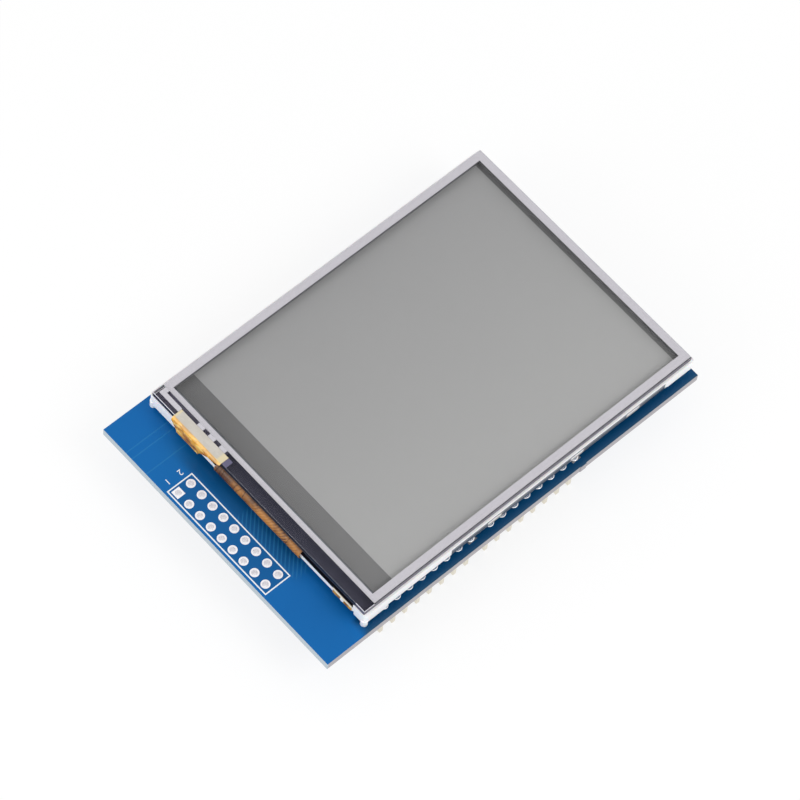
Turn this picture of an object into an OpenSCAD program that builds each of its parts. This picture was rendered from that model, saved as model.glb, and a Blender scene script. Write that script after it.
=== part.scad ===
// 2.8 inch TFT display module: a plug-in board that carries a display with a resistive touch panel.
// Frame: X runs along the board from the flex end, Y across it, Z up. The origin is under the
// middle of the board, at the tips of the header pins. Lengths are in millimetres.

/* [Board] */
// Length of the circuit board
board_l = 77.7; // [76.5:0.1:84]
// Width of the circuit board
board_w = 52.3; // [52:0.1:56]
// Thickness of the circuit board
board_t = 1.6; // [1:0.1:2.4]
// Thickness of the tinned copper pads
pad_t = 0.05; // [0.03:0.01:0.1]
// Width of the stub that a breakaway tab leaves on each long edge
stub_w = 1.2; // [0.6:0.1:3]
// How far that stub stands out of the edge
stub_out = 0.12; // [0.05:0.01:0.3]
// Distance from the flex end of the board to the stub
stub_from_end = 52.4; // [40:0.1:60]

/* [Expansion grid] */
// Holes along the expansion grid
grid_rows = 9; // [4:1:10]
// Distance from the flex end of the board to the outer column of holes
grid_from_end = 1.7; // [1.4:0.05:2.4]
// Distance from the near long edge to the last row of holes
grid_from_edge = 16.2; // [12:0.1:20]
// Diameter of the plated holes
grid_hole_d = 1; // [0.8:0.05:1.1]
// Diameter of the pads round the holes
grid_pad_d = 1.54; // [1.4:0.02:1.9]
// Thickness of the plating in the holes
plating_t = 0.06; // [0.03:0.01:0.1]

/* [Headers] */
// Spacing of the pins, and of the expansion holes
pitch = 2.54; // [2.5:0.02:2.6]
// Distance from each long edge of the board to its row of pins, which puts the rows 48.26 apart
headers_from_edge = 2.02; // [1.9:0.01:2.4]
// Gap between the last pin of one digital header and the first of the other
digital_gap = 4.06; // [3.5:0.02:6]
// Gap between the analogue header and the power header
power_gap = 5.08; // [4:0.02:8]
// Pins in each digital header
digital_pins = 8; // [6:1:8]
// Pins in the analogue header, and in the power header
analog_pins = 6; // [4:1:7]
// Distance from the flex end of the board to the first pins
headers_from_end = 13.11; // [12.8:0.01:16]
// Side of the square pins
pin_side = 0.64; // [0.5:0.02:0.7]
// Diameter of the holes for the pins
pin_hole_d = 1.02; // [1:0.01:1.2]
// Length of a pin below its insulator
pin_tail = 6; // [3:0.1:9]
// How far a pin stands through the board
pin_through = 0.75; // [0.4:0.05:0.75]
// Length of the chamfer on a pin's tips
pin_point = 0.35; // [0.1:0.05:0.6]
// Height of the header insulators
insulator_h = 1.6; // [1.4:0.1:3]
// Width of the header insulators
insulator_w = 2.3; // [2:0.05:2.5]
// Chamfer between the cells of an insulator
insulator_chamfer = 0.4; // [0.2:0.05:0.6]
// Diameter of the pads under the solder joints
joint_d = 1.52; // [1.4:0.02:1.9]
// Side of the square pad under one joint of each header
square_pad_w = 1.7; // [1.52:0.02:1.9]
// Height of the solder cone round a pin
joint_h = 0.62; // [0.3:0.02:0.7]

/* [Display module] */
// Length of the display module
module_l = 69.2; // [68.2:0.1:69.3]
// Width of the display module
module_w = 50; // [49:0.1:51]
// Distance from the flex end of the board to the display module
module_from_end = 8.3; // [7.9:0.05:8.4]
// Gap between the board and the back of the display module
module_gap = 1.4; // [1.3:0.05:2.4]
// Thickness of the light frame's outer walls
frame_wall = 0.9; // [0.8:0.05:1.2]
// Width of the step in the frame that carries the glass
frame_step = 1; // [0.8:0.05:1.4]
// Radius of the frame's upright corners
frame_corner_r = 0.5; // [0.3:0.05:0.8]
// Length of the deep corner blocks at the flex end
block_l = 5.2; // [4:0.1:5.6]
// Length of the slope at the end of those blocks
block_slope = 0.9; // [0.3:0.05:1.4]
// Width of the near corner block at the flex end
block_w = 2.7; // [2:0.1:2.8]
// Width of the far corner block at the flex end
block_far_w = 6.2; // [3:0.1:6.2]
// Length and width of the deep corner blocks at the far end
block_end_l = 5.9; // [4:0.1:6.4]
// How far the corner blocks at the flex end reach below the back of the module
block_drop = 0.5; // [0.3:0.05:0.5]
// How far those at the far end reach below it
block_end_drop = 0.1; // [0.05:0.05:0.5]
// Diameter of the round foot at each corner
foot_d = 1.2; // [0.9:0.05:1.8]

/* [Foam tape] */
// Length of the strips of foam tape
foam_l = 46; // [30:1:50]
// Width of the strips
foam_w = 8; // [5:0.5:10]
// Distance from the feet of the flexes to the strips
foam_from_flex = 3; // [2:0.5:8]
// Distance from the long sides of the module to the strips
foam_from_side = 8; // [6:0.5:10]

/* [Back tray] */
// Thickness of the sheet steel
tray_t = 0.2; // [0.15:0.01:0.3]
// Height of the tray's side walls
tray_wall_h = 1.7; // [1.5:0.05:1.9]
// Distance from the flex end of the module to the tray's side walls
tray_wall_start = 17.9; // [14:0.1:22]
// Length of the tray's side walls
tray_wall_l = 45; // [42:0.1:46]
// Length of the tray's wall at the far end
tray_end_l = 27; // [20:0.1:34]
// Width of the snap windows
window_w = 3; // [2:0.1:4]
// Height of the snap windows
window_h = 1; // [0.8:0.05:1.05]
// How far the snaps stand out of the light frame
snap_out = 0.2; // [0.1:0.01:0.22]
// Play between the tray's walls and the frame
tray_play = 0.05; // [0.03:0.01:0.1]

/* [Backlight] */
// Thickness of the reflector, the diffuser and each prism sheet
sheet_t = 0.1; // [0.06:0.01:0.12]
// Thickness of the light guide
guide_t = 0.5; // [0.4:0.02:0.55]
// Play round the light guide and the sheets
guide_play = 0.15; // [0.1:0.05:0.4]
// Number of backlight lamps
led_count = 4; // [2:1:6]
// Width of a lamp
led_w = 3; // [2:0.1:3.6]
// Depth of a lamp
led_d = 0.7; // [0.5:0.05:0.9]
// Distance from the flex end of the module to the light guide
guide_start = 3.9; // [3.5:0.1:5]
// Thickness of the flexes
flex_t = 0.1; // [0.06:0.01:0.12]

/* [Glass] */
// Thickness of each display glass
cell_t = 0.4; // [0.3:0.02:0.42]
// Play between the display glass and the frame
cell_play = 0.1; // [0.05:0.01:0.2]
// Distance from the flex end of the module to the transistor glass
cell_start = 0.7; // [0.5:0.05:0.9]
// Length of the ledge that the transistor glass leaves uncovered
cell_ledge = 2.8; // [2.4:0.1:3.2]
// Thickness of the polarisers
polariser_t = 0.1; // [0.06:0.01:0.12]
// How far the polarisers stay inside the edge of the glass
polariser_inset = 0.3; // [0.1:0.05:0.6]
// Length of the driver chip
chip_l = 16; // [10:0.5:20]
// Width of the driver chip
chip_w = 0.9; // [0.6:0.05:1]
// Height of the driver chip
chip_h = 0.25; // [0.2:0.01:0.26]

/* [Touch panel] */
// Thickness of the gasket under the touch glass
gasket_t = 0.15; // [0.1:0.01:0.3]
// Width of that gasket
gasket_w = 1.1; // [0.8:0.05:1.4]
// Thickness of the touch glass
touch_glass_t = 1.1; // [0.7:0.05:1.8]
// Inset of the touch panel from the module at the near long side
touch_near_inset = 0.3; // [0.2:0.05:0.6]
// Inset of the touch panel at the far long side
touch_far_inset = 0.6; // [0.2:0.05:1]
// Inset of the touch panel at the far end
touch_end_inset = 0.6; // [0.2:0.05:1.2]
// Inset of the touch panel at the flex end
touch_flex_inset = 0.05; // [0:0.01:0.1]
// Thickness of the adhesive ring between glass and film
spacer_t = 0.1; // [0.05:0.01:0.2]
// Thickness of the printed border
print_t = 0.03; // [0.02:0.01:0.05]
// Thickness of the touch film
film_t = 0.17; // [0.1:0.01:0.3]
// Inset of the film from the edge of the touch glass
film_inset = 0.12; // [0.05:0.01:0.25]
// Length of the touch glass that the film leaves bare at the flex end
film_setback = 2.1; // [1.8:0.05:2.4]
// Width of the printed border along the long sides and the far end
border_w = 1.35; // [0.9:0.05:1.6]
// Width of the printed border at the flex end
border_flex_w = 0.85; // [0.6:0.05:1.2]

/* [Flexes] */
// Width of the display flex
flex_w = 19.7; // [16:0.1:19.8]
// Distance from the near long side of the module to the display flex
flex_from_side = 14.6; // [13:0.1:14.7]
// Radius of the display flex's bend round the end of the frame
flex_bend_r = 1.12; // [1.05:0.01:1.2]
// Length of display flex bonded to the glass
flex_bond_l = 1; // [0.6:0.1:1.3]
// How far the flexes run in under the module before they step down to the board
flex_level_l = 2.6; // [2.2:0.1:3]
// Length of that step
flex_step_l = 3.2; // [2.6:0.1:4]
// Length of display flex soldered to the board
flex_foot_l = 3; // [2:0.1:4]
// Width of the touch tail where it is bonded to the touch glass
tail_w = 11; // [10:0.1:11.4]
// Distance from the near long side of the module to the touch tail
tail_from_side = 33.2; // [33:0.1:34]
// Width of the touch tail's neck, below the glass
neck_w = 5; // [4:0.1:6]
// Distance from the near long side of the module to that neck
neck_from_side = 38; // [36.5:0.1:38.5]
// Length of tail bonded to the touch glass
tail_bond_l = 1.4; // [1:0.05:1.5]
// Radius of the touch tail's bends
tail_bend_r = 0.7; // [0.6:0.02:0.8]
// Width of the backlight's tab on the sill
led_tab_w = 4.2; // [3:0.1:5]
// Distance from the near long side of the module to that tab
led_tab_from_side = 2.9; // [2.8:0.1:4]
// Diameter of the peg through that tab
peg_d = 0.8; // [0.5:0.05:0.8]

/* [Underside parts] */
// Length of the card socket
socket_l = 15; // [14:0.1:16]
// Width of the card socket
socket_w = 14; // [13.4:0.1:15]
// Height of the card socket
socket_h = 1.8; // [1.7:0.05:2.2]
// Thickness of the card socket's steel shell
shell_t = 0.2; // [0.15:0.01:0.25]
// Width of the card slot
slot_w = 11.2; // [11:0.1:11.6]
// Height of the card slot
slot_h = 0.9; // [0.8:0.05:1]
// Distance from the back of the card socket to the end of its slot
slot_from_back = 2.5; // [2:0.1:3]
// Diameter of the thumb notch in the shell
notch_d = 9; // [7:0.2:10]
// Depth of the thumb notch
notch_depth = 1.9; // [1:0.1:3]
// Spacing of the card socket's contacts
contact_pitch = 1.1; // [1:0.02:1.15]
// Width of a contact
contact_w = 0.4; // [0.3:0.02:0.5]
// Thickness of a contact
contact_t = 0.15; // [0.1:0.01:0.18]
// Reach of the contacts from the back of the socket
contact_l = 7.4; // [6.5:0.1:8]
// Length of the turned-down tip of a contact
contact_tip_l = 0.9; // [0.6:0.05:1.2]
// Length of a contact's flat foot
contact_foot_l = 1.75; // [1.5:0.05:2]
// How far that foot reaches out of the back of the socket
contact_out = 0.5; // [0.3:0.05:0.8]
// Distance from the near long edge of the board to the middle of the card socket
socket_from_edge = 30.5; // [28:0.1:33]
// Distance from the flex end of the board to the first level shifter
shifter_from_end = 35.9; // [32:0.1:40]
// Distance from one level shifter to the other
shifter_gap = 15; // [12:0.5:16]
// Distance from the near long edge of the board to the level shifters
shifter_from_edge = 18.2; // [14:0.1:22]
// Length of a level shifter's body
shifter_l = 6.5; // [6.4:0.1:7]
// Width of a level shifter's body
shifter_w = 4.4; // [4:0.1:4.8]
// Height of a level shifter's body
shifter_h = 0.95; // [0.8:0.05:1.2]
// Width of a level shifter's leads
shifter_lead_w = 0.22; // [0.18:0.01:0.3]
// Thickness of a level shifter's leads
shifter_lead_t = 0.15; // [0.1:0.01:0.2]
// How far a level shifter's leads reach out of its body
shifter_lead_l = 1; // [0.8:0.05:1.2]
// Distance from the flex end of the board to the regulator
regulator_from_end = 21.9; // [19:0.1:24]
// Distance from the near long edge of the board to the regulator
regulator_from_edge = 29.2; // [27:0.1:31]
// Length of the regulator's body
regulator_l = 6.5; // [6:0.1:7]
// Width of the regulator's body
regulator_w = 3.5; // [3.3:0.1:3.7]
// Height of the regulator's body
regulator_h = 1.6; // [1.4:0.1:1.8]
// Spacing of the regulator's three leads
regulator_pitch = 2.3; // [2:0.05:2.5]
// Width of the regulator's leads
regulator_lead_w = 0.7; // [0.6:0.05:0.9]
// Width of the regulator's tab
regulator_tab_w = 3; // [2.6:0.1:3.4]
// Thickness of the regulator's leads
regulator_lead_t = 0.3; // [0.2:0.02:0.36]
// How far the regulator's leads reach out of its body
regulator_lead_l = 1.75; // [1.4:0.05:2]
// Distance from the flex end of the board to the transistor
transistor_from_end = 14.9; // [13:0.1:17]
// Distance from the near long edge of the board to the transistor
transistor_from_edge = 19.2; // [16:0.1:22]
// Length of the transistor's body
transistor_l = 2.9; // [2.6:0.1:3.1]
// Width of the transistor's body
transistor_w = 1.3; // [1.1:0.05:1.5]
// Height of the transistor's body
transistor_h = 1; // [0.8:0.05:1.2]
// Spacing of the transistor's two leads
transistor_pitch = 1.9; // [1.7:0.05:2]
// Width of the transistor's leads
transistor_lead_w = 0.4; // [0.3:0.02:0.5]
// Thickness of the transistor's leads
transistor_lead_t = 0.12; // [0.08:0.01:0.16]
// How far the transistor's leads reach out of its body
transistor_lead_l = 0.55; // [0.45:0.05:0.8]
// Distance from a chip's leads to the capacitor beside it
capacitor_gap = 1.8; // [1:0.1:2.4]
// Length of a capacitor
capacitor_l = 2; // [1.6:0.1:2.2]
// Width of a capacitor
capacitor_w = 1.25; // [0.8:0.05:1.4]
// Height of a capacitor
capacitor_h = 1; // [0.6:0.05:1.2]
// Length of the metal cap on each end of a capacitor
capacitor_cap_l = 0.45; // [0.2:0.05:0.6]
// Distance from the flex end of the board to the first resistor
resistor_from_end = 36.9; // [32:0.1:40]
// Distance from the near long edge of the board to the resistors
resistor_from_edge = 39.2; // [37:0.1:42]
// Spacing of the resistors
resistor_pitch = 2.4; // [1.4:0.1:2.6]
// Length of a resistor
resistor_l = 1.6; // [1.4:0.1:1.8]
// Width of a resistor
resistor_w = 0.8; // [0.6:0.05:0.9]
// Height of a resistor
resistor_h = 0.45; // [0.3:0.05:0.6]
// Length of the metal cap on each end of a resistor
resistor_cap_l = 0.3; // [0.15:0.05:0.45]

/* [Hidden] */

$fn = 48;
cut = 0.5; // how far a cutter runs past the face it opens

// Levels, from the pin tips up
board_low = pin_tail + insulator_h;
board_top = board_low + board_t;
back = board_top + module_gap; // back of the display module
guide_low = back + tray_t + sheet_t;
guide_top = guide_low + guide_t;
step_top = guide_top + 3 * sheet_t; // the step in the frame that carries the glass
cell_low = step_top + polariser_t;
cell_mid = cell_low + cell_t;
cell_top = cell_mid + cell_t;
frame_top = cell_top + polariser_t;
sill_top = step_top - flex_t; // the low sill at the flex end
wall_low = back + tray_t; // underside of the frame's walls
glass_low = frame_top + gasket_t;
glass_top = glass_low + touch_glass_t;
print_low = glass_top + spacer_t;
film_low = print_low + print_t;

// Corners of the board
x0 = -board_l / 2;
y0 = -board_w / 2;

// Corners of the display module, which lies in the middle of the board's width
mx0 = x0 + module_from_end;
mx1 = mx0 + module_l;
my0 = -module_w / 2;
my1 = module_w / 2;

// Header rows: the first pins stand in line across the board
row_x = x0 + headers_from_end;
near_row = y0 + headers_from_edge;
far_row = -near_row;
high_x = row_x + (digital_pins - 1) * pitch + digital_gap;
power_x = row_x + (analog_pins - 1) * pitch + power_gap;

// Expansion grid
grid_x = x0 + grid_from_end;
grid_y = y0 + grid_from_edge;
eyelet_d = grid_hole_d + 2 * plating_t;

// Pocket for the glass, and the opening below it for the light guide
pocket_y0 = my0 + frame_wall;
pocket_y1 = my1 - frame_wall;
pocket_x1 = mx1 - frame_wall;
open_y0 = pocket_y0 + frame_step;
open_y1 = pocket_y1 - frame_step;
open_x1 = pocket_x1 - frame_step;
guide_x0 = mx0 + guide_start;

// Glass
cell_x0 = mx0 + cell_start;
cell_x1 = pocket_x1 - cell_play;
cell_y0 = pocket_y0 + cell_play;
cell_y1 = pocket_y1 - cell_play;
filter_x0 = cell_x0 + cell_ledge;

// Touch panel
touch_x0 = mx0 + touch_flex_inset;
touch_x1 = mx1 - touch_end_inset;
touch_y0 = my0 + touch_near_inset;
touch_y1 = my1 - touch_far_inset;
film_x0 = touch_x0 + film_setback;
film_x1 = touch_x1 - film_inset;
film_y0 = touch_y0 + film_inset;
film_y1 = touch_y1 - film_inset;
window_x0 = film_x0 + border_flex_w;
window_x1 = film_x1 - border_w;
window_y0 = film_y0 + border_w;
window_y1 = film_y1 - border_w;

// Flexes
flex_y0 = my0 + flex_from_side;
flex_x0 = cell_x0; // the display flex starts its bend at the end of the glass
flex_mid = cell_mid + flex_t - flex_bend_r; // height of the centre of its bend
flex_low = flex_mid - flex_bend_r;
tail_y0 = my0 + tail_from_side;
neck_y0 = my0 + neck_from_side;
tail_x0 = touch_x0 + 0.05;
tail_low = back - flex_t - 0.1;
tab_y0 = my0 + led_tab_from_side;
ramp_x = mx0 + flex_level_l; // both flexes leave the back of the module here
foot_x = ramp_x + flex_step_l; // and land on the board here

// Tray walls and windows: three windows along each long side, one at the far end
tray_x0 = mx0 + tray_wall_start;
window_z = tray_t + 0.1;
long_windows = [0.2, 0.585, 0.85];
end_windows = [0.5];

// Box from one corner to the opposite one
module block(low, high) {
    translate(low) cube(high - low);
}

// Upright plate with round corners
module rounded_plate(low, high, r) {
    size = high - low;
    translate(low) linear_extrude(size.z)
        union() {
            translate([r, 0]) square([size.x - 2 * r, size.y]);
            translate([0, r]) square([size.x, size.y - 2 * r]);
            for (x = [r, size.x - r], y = [r, size.y - r])
                translate([x, y]) circle(r);
        }
}

// Ring between two rectangles
module ring(low, high, inner_low, inner_high) {
    difference() {
        block(low, high);
        block([inner_low.x, inner_low.y, low.z - cut], [inner_high.x, inner_high.y, high.z + cut]);
    }
}

// What stands on the underside of the board is drawn the right way up and turned over here
module underside() {
    translate([0, 0, board_low]) mirror([0, 0, 1]) children();
}

// ---- board ----

module pin_places(x, y, count) {
    for (i = [0 : count - 1]) translate([x + i * pitch, y, 0]) children();
}

module all_pin_places() {
    pin_places(row_x, near_row, digital_pins) children();
    pin_places(high_x, near_row, digital_pins) children();
    pin_places(row_x, far_row, analog_pins) children();
    pin_places(power_x, far_row, analog_pins) children();
}

module grid_places() {
    for (i = [0 : grid_rows - 1], j = [0, 1])
        translate([grid_x + j * pitch, grid_y + i * pitch, 0]) children();
}

module circuit_board() {
    color("steelblue") difference() {
        union() {
            block([x0, y0, board_low], [-x0, -y0, board_top]);
            block([x0 + stub_from_end, y0 - stub_out, board_low],
                [x0 + stub_from_end + stub_w, -y0 + stub_out, board_top]);
        }
        translate([0, 0, board_low - cut]) {
            all_pin_places() cylinder(d = pin_hole_d, h = board_t + 2 * cut);
            grid_places() cylinder(d = eyelet_d, h = board_t + 2 * cut);
        }
    }
}

// One plated hole with a pad on each face; the pad of hole 1 is square
module eyelet(square_pad) {
    difference() {
        union() {
            translate([0, 0, board_low - pad_t]) cylinder(d = eyelet_d, h = board_t + 2 * pad_t);
            for (z = [board_low - pad_t, board_top]) translate([0, 0, z])
                if (square_pad) linear_extrude(pad_t) square(grid_pad_d, center = true);
                else cylinder(d = grid_pad_d, h = pad_t);
        }
        translate([0, 0, board_low - cut]) cylinder(d = grid_hole_d, h = board_t + 2 * cut);
    }
}

module expansion_eyelets() {
    color("silver") for (i = [0 : grid_rows - 1], j = [0, 1])
        translate([grid_x + j * pitch, grid_y + i * pitch, 0])
            eyelet(square_pad = j == 0 && i == grid_rows - 1);
}

// ---- headers ----

// Insulator strip, with a notch between each two cells
module insulator(x, y, count) {
    c = insulator_chamfer;
    l = pitch / 2;
    w = insulator_w / 2;
    color("dimgray") translate([0, 0, pin_tail]) linear_extrude(insulator_h) difference() {
        for (i = [0 : count - 1]) translate([x + i * pitch, y])
            polygon([[-l, c - w], [c - l, -w], [l - c, -w], [l, c - w],
                [l, w - c], [l - c, w], [c - l, w], [-l, w - c]]);
        for (i = [0 : count - 1]) translate([x + i * pitch, y]) square(pin_side, center = true);
    }
}

// One side of a square pin, pointed at both ends
module pin_side_view() {
    s = pin_side / 2;
    top = board_top + pin_through;
    rotate([90, 0, 0]) linear_extrude(pin_side, center = true)
        polygon([[-s / 2, 0], [s / 2, 0], [s, pin_point], [s, top - pin_point],
            [s / 2, top], [-s / 2, top], [-s, top - pin_point], [-s, pin_point]]);
}

module pins(x, y, count) {
    color("gold") pin_places(x, y, count) intersection() {
        pin_side_view();
        rotate([0, 0, 90]) pin_side_view();
    }
}

// Solder cone on its pad, hollow at the foot and steep at the pin
module joint(square_pad) {
    r = joint_d / 2;
    neck = pin_side * 0.72;
    difference() {
        union() {
            if (square_pad) linear_extrude(pad_t) square(square_pad_w, center = true);
            rotate_extrude() polygon([[0, 0], [r, 0], [r, pad_t], [r - 0.1, pad_t + 0.08],
                [(r + neck) / 2, joint_h * 0.45], [neck + 0.05, joint_h * 0.8],
                [neck, joint_h], [0, joint_h]]);
        }
        translate([0, 0, -cut]) linear_extrude(joint_h + 2 * cut) square(pin_side, center = true);
    }
}

module joints(x, y, count, square_at) {
    color("silver") for (i = [0 : count - 1])
        translate([x + i * pitch, y, board_top]) joint(i == square_at);
}

module header_low_insulator() { insulator(row_x, near_row, digital_pins); }
module header_low_pins() { pins(row_x, near_row, digital_pins); }
module header_low_joints() { joints(row_x, near_row, digital_pins, digital_pins - 1); }
module header_high_insulator() { insulator(high_x, near_row, digital_pins); }
module header_high_pins() { pins(high_x, near_row, digital_pins); }
module header_high_joints() { joints(high_x, near_row, digital_pins, digital_pins - 1); }
module header_power_insulator() { insulator(power_x, far_row, analog_pins); }
module header_power_pins() { pins(power_x, far_row, analog_pins); }
module header_power_joints() { joints(power_x, far_row, analog_pins, 0); }
module header_analog_insulator() { insulator(row_x, far_row, analog_pins); }
module header_analog_pins() { pins(row_x, far_row, analog_pins); }
module header_analog_joints() { joints(row_x, far_row, analog_pins, 0); }

// ---- display module: tray and frame ----

module mounting_foam() {
    color("white") for (y = [my0 + foam_from_side, my1 - foam_from_side - foam_w])
        translate([foot_x + flex_foot_l + foam_from_flex, y, board_top])
            cube([foam_l, foam_w, module_gap]);
}

// Folded edge of the tray, seen from its end: a floor strip, a bend and a wall
module fold_view(floor_l, wall_h) {
    inner = tray_play;
    outer = inner + tray_t;
    translate([outer, 0]) square([floor_l - outer, tray_t]);
    translate([0, outer]) square([tray_t, wall_h - outer]);
    translate([outer, outer]) difference() {
        intersection() {
            circle(outer);
            translate([-outer, -outer]) square(outer);
        }
        circle(inner);
    }
}

// A wall of the tray, drawn along X from 0 to its length, with its outer face on the XZ plane
module tray_wall(length, windows, floor_l) {
    difference() {
        rotate([90, 0, 90]) linear_extrude(length) fold_view(floor_l, tray_wall_h);
        for (w = windows)
            translate([w * length - window_w / 2, -cut, window_z])
                cube([window_w, tray_t + 2 * cut, window_h]);
    }
}

// Puts a wall of the tray on each side that has one
module tray_sides() {
    translate([tray_x0, my0, back]) children(0);
    translate([tray_x0, my1, back]) mirror([0, 1, 0]) children(0);
    translate([mx1, -tray_end_l / 2, back]) rotate([0, 0, 90]) children(1);
}

// Tray with a floor that is notched round the frame's corner blocks
module back_tray() {
    strip_l = 2;
    side = frame_wall + frame_step / 2;
    notch = block_end_l + 0.2;
    color("gainsboro") union() {
        tray_sides() {
            tray_wall(tray_wall_l, long_windows, strip_l);
            tray_wall(tray_end_l, end_windows, strip_l);
        }
        block([mx0 + block_l + 0.2, my0 + side, back], [mx1 - notch, my1 - side, back + tray_t]);
        block([mx0 + frame_wall + 0.1, my0 + notch, back], [mx1 - side, my1 - notch, back + tray_t]);
    }
}

// Wedge that clicks into a window: flat above, sloped below
module snap() {
    l = window_w - 0.2;
    h = window_h * 0.42;
    translate([-l / 2, 0, 0]) rotate([90, 0, 90]) linear_extrude(l)
        polygon([[0, 0], [tray_play, 0], [tray_play, h], [-snap_out, h], [-snap_out, h * 0.7]]);
}

module snaps(length, windows) {
    depth = tray_t + tray_play;
    for (w = windows)
        translate([w * length, depth, window_z + 0.05]) snap();
}

// Room for a wall of the tray in the side of the frame
module tray_room(length) {
    depth = tray_t + tray_play;
    translate([-tray_play, -cut, -cut])
        cube([length + 2 * tray_play, cut + depth, tray_wall_h + tray_play + cut]);
}

// Deep block in a corner of the frame; out is the corner, and to where the block ends
module corner_block(out, to, drop) {
    low = [min(out.x, to.x), min(out.y, to.y), back - drop];
    high = [max(out.x, to.x), max(out.y, to.y), wall_low + frame_corner_r];
    rounded_plate(low, high, frame_corner_r);
}

// What the sloped ends take off the two blocks at the flex end
module block_slopes() {
    low = back - block_drop;
    to = mx0 + block_l;
    translate([0, my1 + cut, 0]) rotate([90, 0, 0]) linear_extrude(module_w + 2 * cut)
        polygon([[to - block_slope, low], [to, wall_low], [to, low - cut], [to - block_slope, low - cut]]);
}

// Foot under a corner, which stands on the board. It is proud of the corner at the flex end.
module foot(out) {
    in = out.x < 0 ? foot_d / 2 - 0.12 : foot_d;
    translate([out.x - sign(out.x) * in, out.y - sign(out.y) * in, board_top])
        cylinder(d = foot_d, h = back - board_top);
}

// Middle of the sill's face, behind the backlight's tab
module peg_place() {
    translate([mx0 - 2 * flex_t, tab_y0 + led_tab_w / 2, (back + sill_top) / 2])
        rotate([0, 90, 0]) children();
}

// The frame's pocket for the glass, its opening for the light guide and its open flex end
module frame_rooms() {
    block([mx0 + cell_start - cell_play, pocket_y0, step_top], [pocket_x1, pocket_y1, frame_top + cut]);
    block([mx0 + frame_wall, open_y0, back - block_drop - cut], [open_x1, open_y1, step_top + cut]);
    block([mx0 - cut, my0 + block_w, sill_top],
        [mx0 + frame_wall + cut, my1 - block_far_w, frame_top + cut]);
    tray_sides() {
        tray_room(tray_wall_l);
        tray_room(tray_end_l);
    }
}

module light_frame() {
    color("whitesmoke") {
        difference() {
            union() {
                rounded_plate([mx0, my0, wall_low], [mx1, my1, frame_top], frame_corner_r);
                block([mx0, my0 + block_w, back], [mx0 + frame_wall, my1 - block_far_w, sill_top]);
                corner_block([mx0, my0], [mx0 + block_l, my0 + block_w], block_drop);
                corner_block([mx0, my1], [mx0 + block_l, my1 - block_far_w], block_drop);
                corner_block([mx1, my0], [mx1 - block_end_l, my0 + block_end_l], block_end_drop);
                corner_block([mx1, my1], [mx1 - block_end_l, my1 - block_end_l], block_end_drop);
            }
            frame_rooms();
            block_slopes();
        }
        for (x = [mx0, mx1], y = [my0, my1]) foot([x, y]);
        tray_sides() {
            snaps(tray_wall_l, long_windows);
            snaps(tray_end_l, end_windows);
        }
        peg_place() cylinder(d = peg_d, h = 2 * flex_t + frame_wall / 2);
    }
}

// ---- display module: backlight ----

// A sheet in the opening of the frame
module sheet(x, low, thickness) {
    block([x, open_y0 + guide_play, low], [open_x1 - guide_play, open_y1 - guide_play, low + thickness]);
}

module reflector_sheet() {
    color("white") sheet(mx0 + frame_wall + guide_play, wall_low, sheet_t);
}

module light_guide() {
    color("azure") sheet(guide_x0, guide_low, guide_t);
}

module diffuser_sheet() {
    color("whitesmoke") sheet(guide_x0 + led_d + guide_play, guide_top, sheet_t);
}

module lower_prism_sheet() {
    color("lavender") sheet(guide_x0 + led_d + guide_play, guide_top + sheet_t, sheet_t);
}

module upper_prism_sheet() {
    color("lavender") sheet(guide_x0 + led_d + guide_play, guide_top + 2 * sheet_t, sheet_t);
}

module backlight_leds() {
    span = (open_y1 - open_y0) / led_count;
    color("lemonchiffon") for (i = [0 : led_count - 1])
        translate([guide_x0 - led_d - guide_play / 2, open_y0 + (i + 0.5) * span - led_w / 2, guide_low])
            cube([led_d, led_w, sill_top - guide_low]);
}

// Strip flex over the lamps, with a tab that is folded over the sill and pegged to its face
module led_flex() {
    tab_low = back - 0.1;
    color("orange") {
        block([mx0 + frame_wall + guide_play, open_y0 + guide_play, sill_top],
            [guide_x0 + led_d, open_y1 - guide_play, step_top]);
        block([mx0, my0 + block_w + guide_play, sill_top],
            [guide_x0, my1 - block_far_w - guide_play, step_top]);
        difference() {
            translate([0, tab_y0 + led_tab_w, 0]) rotate([90, 0, 0]) linear_extrude(led_tab_w) {
                translate([mx0, sill_top]) square([frame_wall, flex_t]);
                translate([mx0 - flex_t, tab_low]) square([flex_t, sill_top - tab_low]);
                intersection() {
                    translate([mx0, sill_top]) circle(flex_t);
                    translate([mx0 - flex_t, sill_top]) square(flex_t);
                }
            }
            peg_place() cylinder(d = peg_d + 0.1, h = 3 * flex_t);
        }
    }
}

// ---- display module: glass ----

module rear_polariser() {
    color("dimgray") block([cell_x0 + 1.5, cell_y0 + polariser_inset, step_top],
        [cell_x1 - polariser_inset, cell_y1 - polariser_inset, cell_low]);
}

module transistor_glass() {
    color("lightgray") block([cell_x0, cell_y0, cell_low], [cell_x1, cell_y1, cell_mid]);
}

module colour_filter_glass() {
    color("gray") block([filter_x0, cell_y0, cell_mid], [cell_x1, cell_y1, cell_top]);
}

module front_polariser() {
    color("darkgray") block([filter_x0 + polariser_inset, cell_y0 + polariser_inset, cell_top],
        [cell_x1 - polariser_inset, cell_y1 - polariser_inset, frame_top]);
}

module driver_chip() {
    x = filter_x0 - 0.4 - chip_w;
    color("black") block([x, -chip_l / 2, cell_mid], [x + chip_w, chip_l / 2, cell_mid + chip_h]);
}

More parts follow.
